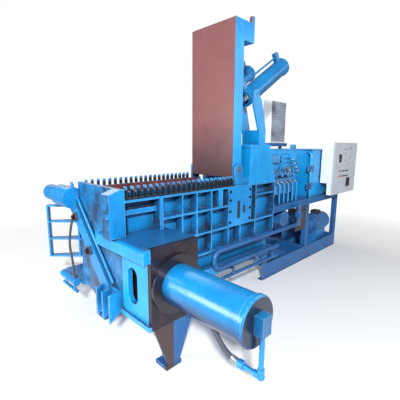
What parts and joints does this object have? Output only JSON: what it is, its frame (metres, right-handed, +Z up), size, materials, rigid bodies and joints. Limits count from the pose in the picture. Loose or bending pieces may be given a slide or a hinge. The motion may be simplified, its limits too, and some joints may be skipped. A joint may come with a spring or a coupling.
{
  "type": "scrap baling press",
  "caption": "Scrap metal baling press with an open charging box, a hinged lid on twin cylinders, a side ram, a bale door and an oil power pack with cabinet.",
  "frame": {"origin": "on the floor, centre of the foot plate of the front leg", "axes": "+X along the press from the bale end to the power pack, +Y from the operator side to the far side, +Z up"},
  "size_m": [4.619, 2.9088, 3.032],
  "materials": {
    "blue_paint": "gloss",
    "worn_lid_paint": "satin",
    "scuffed_steel": "satin",
    "worn_comb_steel": "satin",
    "dark_primer": "satin",
    "bright_pin_steel": "satin",
    "polished_rod": "polished",
    "hose_rubber": "matte",
    "cooler_paint": "satin",
    "valve_body": "satin",
    "motor_paint": "satin",
    "cabinet_enamel": "gloss"
  },
  "bodies": {
    "press": {"front_wall": "blue_paint", "rear_wall": "blue_paint", "box_floor": "blue_paint", "end_wall": "blue_paint", "back_wall": "blue_paint", "front_hinge_bearing": "blue_paint", "rear_hinge_bearing": "blue_paint", "front_pedestal": "blue_paint", "rear_pedestal": "blue_paint", "ram_housing": "blue_paint", "ram_cylinder": "blue_paint", "ram_cylinder_cap": "blue_paint", "ram_port_pipe": "blue_paint", "front_leg": "blue_paint", "rear_leg": "blue_paint", "upper_side_pipe": "blue_paint", "lower_side_pipe": "blue_paint", "power_pack_skid": "blue_paint", "power_pack_frame": "blue_paint", "oil_tank": "blue_paint", "bale_door_frame": "blue_paint", "door_brace": "blue_paint", "lock_cylinder": "blue_paint", "main_ram": "scuffed_steel", "side_ram": "scuffed_steel", "front_comb": "worn_comb_steel", "rear_comb": "worn_comb_steel", "ram_end_plate": "dark_primer", "lid_pin": "bright_pin_steel", "ram_port_hose": "hose_rubber", "lock_hose": "hose_rubber", "oil_cooler": "cooler_paint", "valve_stand": "valve_body", "pump_unit": "motor_paint", "oil_filter": "motor_paint", "control_cabinet": "cabinet_enamel"},
    "lid": {"lid": "worn_lid_paint"},
    "front_barrel": {"front_lid_cylinder": "blue_paint"},
    "front_stage": {"front_lid_stage": "polished_rod"},
    "front_rod": {"front_lid_rod": "polished_rod"},
    "rear_barrel": {"rear_lid_cylinder": "blue_paint"},
    "rear_stage": {"rear_lid_stage": "polished_rod"},
    "rear_rod": {"rear_lid_rod": "polished_rod"},
    "bale_door": {"bale_door": "blue_paint"},
    "cabinet_door": {"cabinet_door": "cabinet_enamel"}
  },
  "joints": [
    {"name": "lid_hinge", "type": "hinge", "parent": "press", "child": "lid", "pos_m": [1.25, 0.679, 1.455], "axis": [0, -1, 0], "range_deg": [0, 90]},
    {"name": "front_cylinder_swing", "type": "hinge", "parent": "press", "child": "front_barrel", "pos_m": [1.49, 0.431, 2.25], "axis": [0, -1, 0], "range_deg": [0, 7.53]},
    {"name": "front_stage_slide", "type": "slide", "parent": "front_barrel", "child": "front_stage", "axis": [-0.8462, 0, -0.5329], "range_m": [0, 0.4732]},
    {"name": "front_rod_slide", "type": "slide", "parent": "front_stage", "child": "front_rod", "axis": [-0.8462, 0, -0.5329], "range_m": [0, 0.4732]},
    {"name": "rear_cylinder_swing", "type": "hinge", "parent": "press", "child": "rear_barrel", "pos_m": [1.49, 0.927, 2.25], "axis": [0, -1, 0], "range_deg": [0, 7.53]},
    {"name": "rear_stage_slide", "type": "slide", "parent": "rear_barrel", "child": "rear_stage", "axis": [-0.8462, 0, -0.5329], "range_m": [0, 0.4732]},
    {"name": "rear_rod_slide", "type": "slide", "parent": "rear_stage", "child": "rear_rod", "axis": [-0.8462, 0, -0.5329], "range_m": [0, 0.4732]},
    {"name": "bale_door_hinge", "type": "hinge", "parent": "press", "child": "bale_door", "pos_m": [0.27, 1.579, 0.4], "axis": [0, 0, 1], "range_deg": [-60, 45]},
    {"name": "cabinet_door_hinge", "type": "hinge", "parent": "press", "child": "cabinet_door", "pos_m": [4.26, 0.197, 1.14], "axis": [0, 0, 1], "range_deg": [0, 110]}
  ],
  "couplings": [
    {"joint": "front_cylinder_swing", "follows": "lid_hinge", "ratio": 0.083453},
    {"joint": "front_stage_slide", "follows": "lid_hinge", "m_per_rad": 0.30091},
    {"joint": "front_rod_slide", "follows": "lid_hinge", "m_per_rad": 0.30091},
    {"joint": "rear_cylinder_swing", "follows": "lid_hinge", "ratio": 0.083453},
    {"joint": "rear_stage_slide", "follows": "lid_hinge", "m_per_rad": 0.30091},
    {"joint": "rear_rod_slide", "follows": "lid_hinge", "m_per_rad": 0.30091}
  ]
}
